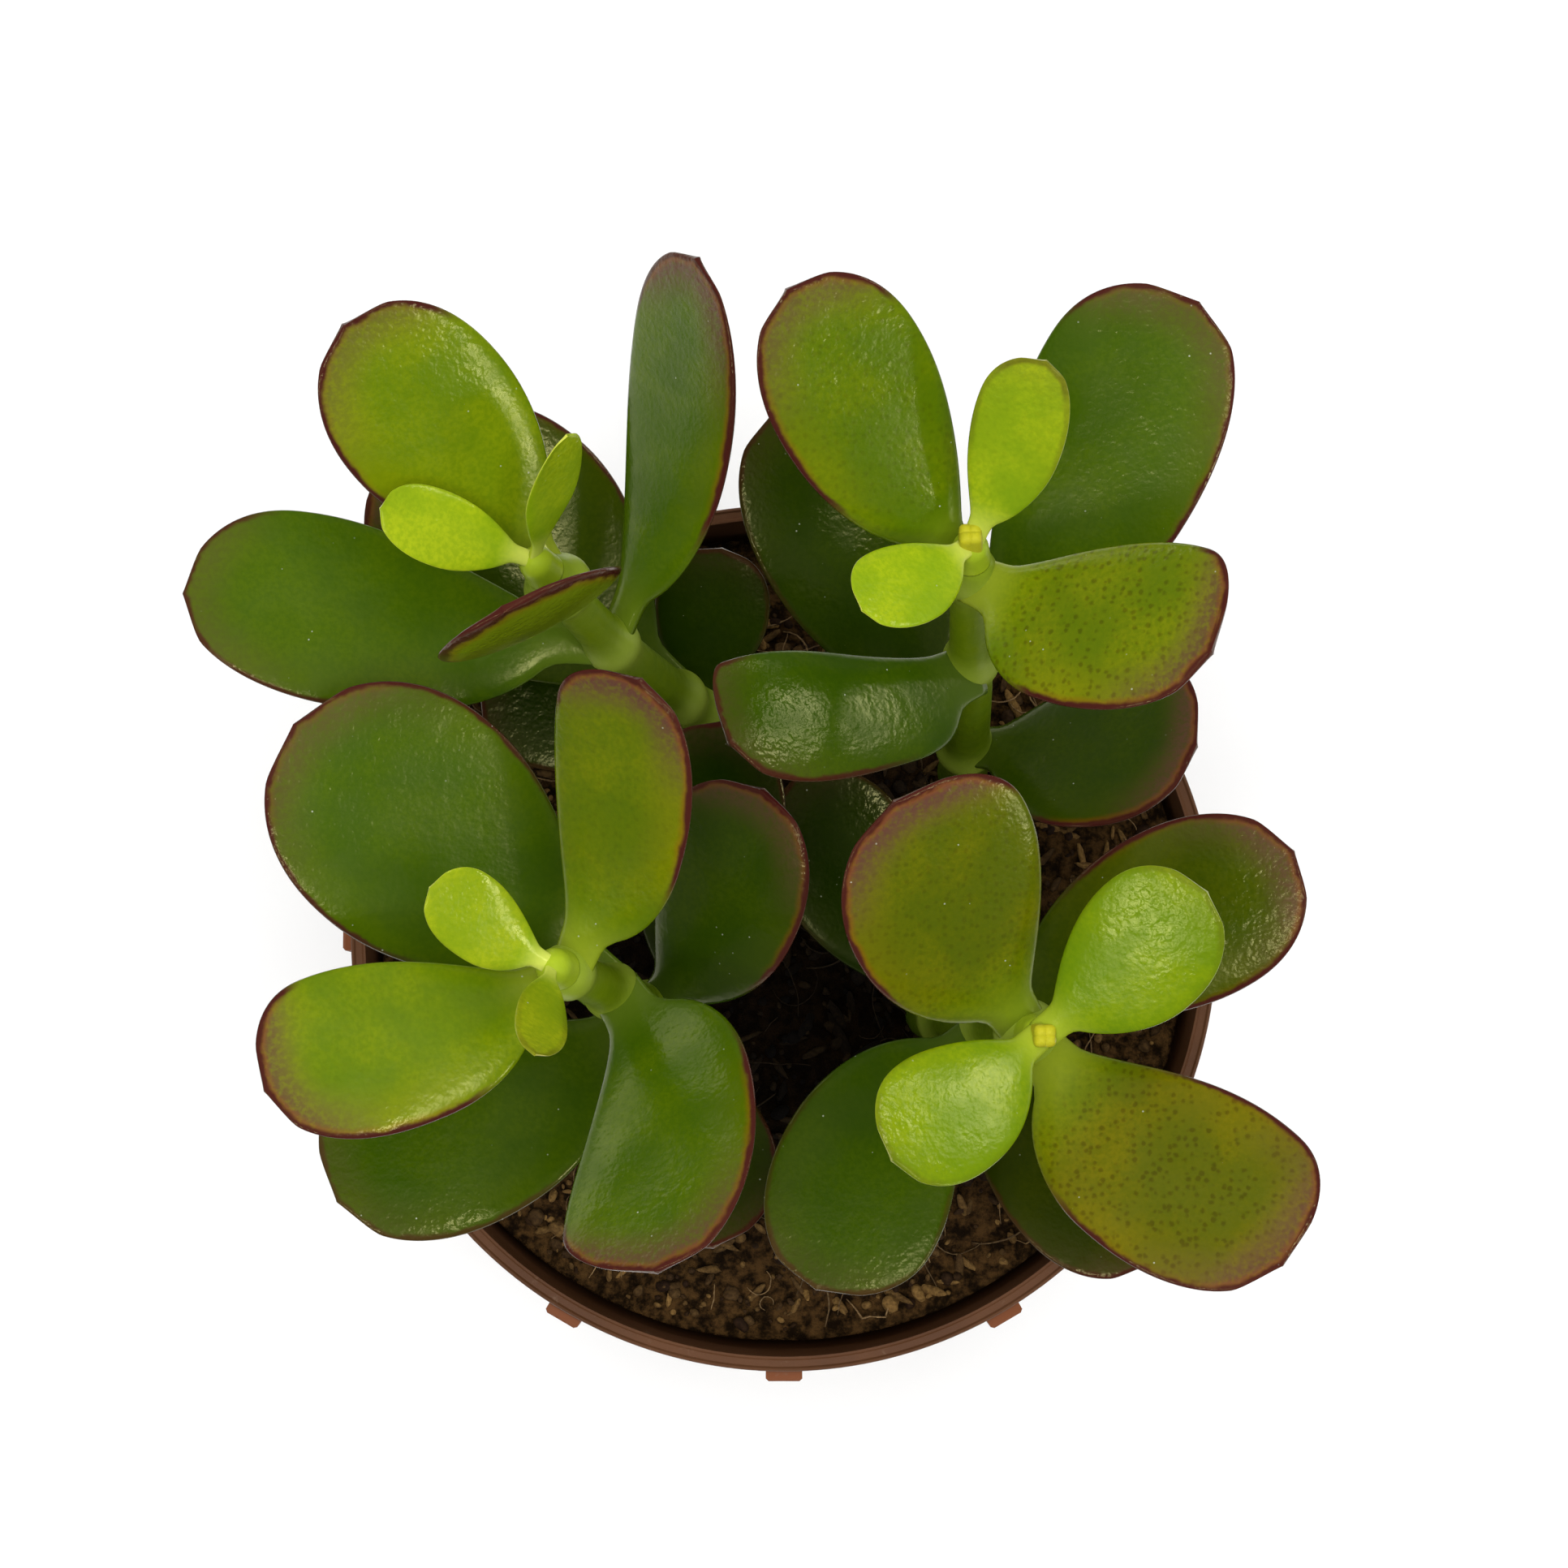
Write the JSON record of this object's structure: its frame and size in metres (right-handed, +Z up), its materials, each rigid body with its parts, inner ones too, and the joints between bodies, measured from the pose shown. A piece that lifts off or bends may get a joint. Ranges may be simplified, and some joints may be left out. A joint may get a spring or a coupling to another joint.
{
  "type": "potted jade plant",
  "caption": "Young jade plant with plump oval leaves on upright rooted cuttings, growing in a round plastic nursery pot filled with soil.",
  "frame": {"origin": "centre of the flat underside of the pot, on the surface that it stands on", "axes": "+Z up along the pot's axis, +X to the right and +Y to the back as the picture shows the plant from above"},
  "size_m": [0.1206, 0.1211, 0.1698],
  "materials": {
    "pot": "matte red-brown moulded plastic",
    "soil": "rough dark brown peat and coir crumbs",
    "leaf": "waxy succulent green with thin dark red margins",
    "young_leaf": "waxy bright yellow-green"
  },
  "bodies": {
    "root": {"pot": "pot", "soil": "soil", "leafy_stem_back_left": "leaf", "leafy_stem_back_right": "leaf", "leafy_stem_front_left": "leaf", "leafy_stem_front_right": "leaf", "young_tip_back_left": "young_leaf", "young_tip_back_right": "young_leaf", "young_tip_front_left": "young_leaf", "young_tip_front_right": "young_leaf"}
  },
  "joints": []
}
